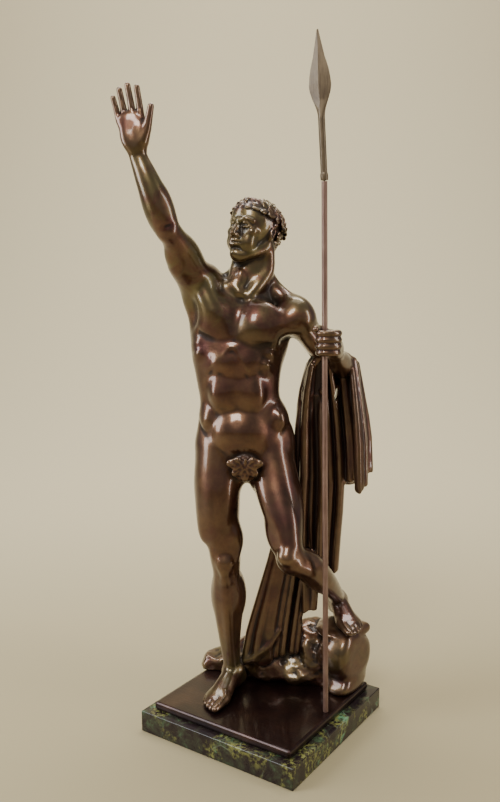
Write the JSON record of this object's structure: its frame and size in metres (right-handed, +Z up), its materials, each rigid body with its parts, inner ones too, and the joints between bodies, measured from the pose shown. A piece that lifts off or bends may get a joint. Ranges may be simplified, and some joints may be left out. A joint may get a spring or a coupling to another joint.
{
  "type": "bronze athlete statue",
  "caption": "Standing nude athlete in cast bronze, laurel-wreathed, hand raised, holding a spear, with cloak and rock, on a bronze plate and a marble plinth.",
  "frame": {"origin": "centre of the marble plinth's underside", "axes": "+Z up; -Y is the plinth's front, to which the right foot and the face point; +X is the spear's side"},
  "size_m": [0.2012, 0.2525, 0.7414],
  "materials": {
    "marble": "polished, dark green with green and yellow patches and pale veins",
    "plate_bronze": "bronze with a dark maroon-brown patina, rubbed lighter at the edge",
    "figure_bronze": "bronze with a glossy dark brown patina, warmer on the chest and face, olive on the rock",
    "spear_bronze": "bronze with a reddish brown patina, satin"
  },
  "bodies": {
    "root": {"marble_plinth": "marble", "bronze_plate": "plate_bronze", "athlete": "figure_bronze", "spear_shaft": "spear_bronze", "spear_head": "spear_bronze"}
  },
  "joints": []
}
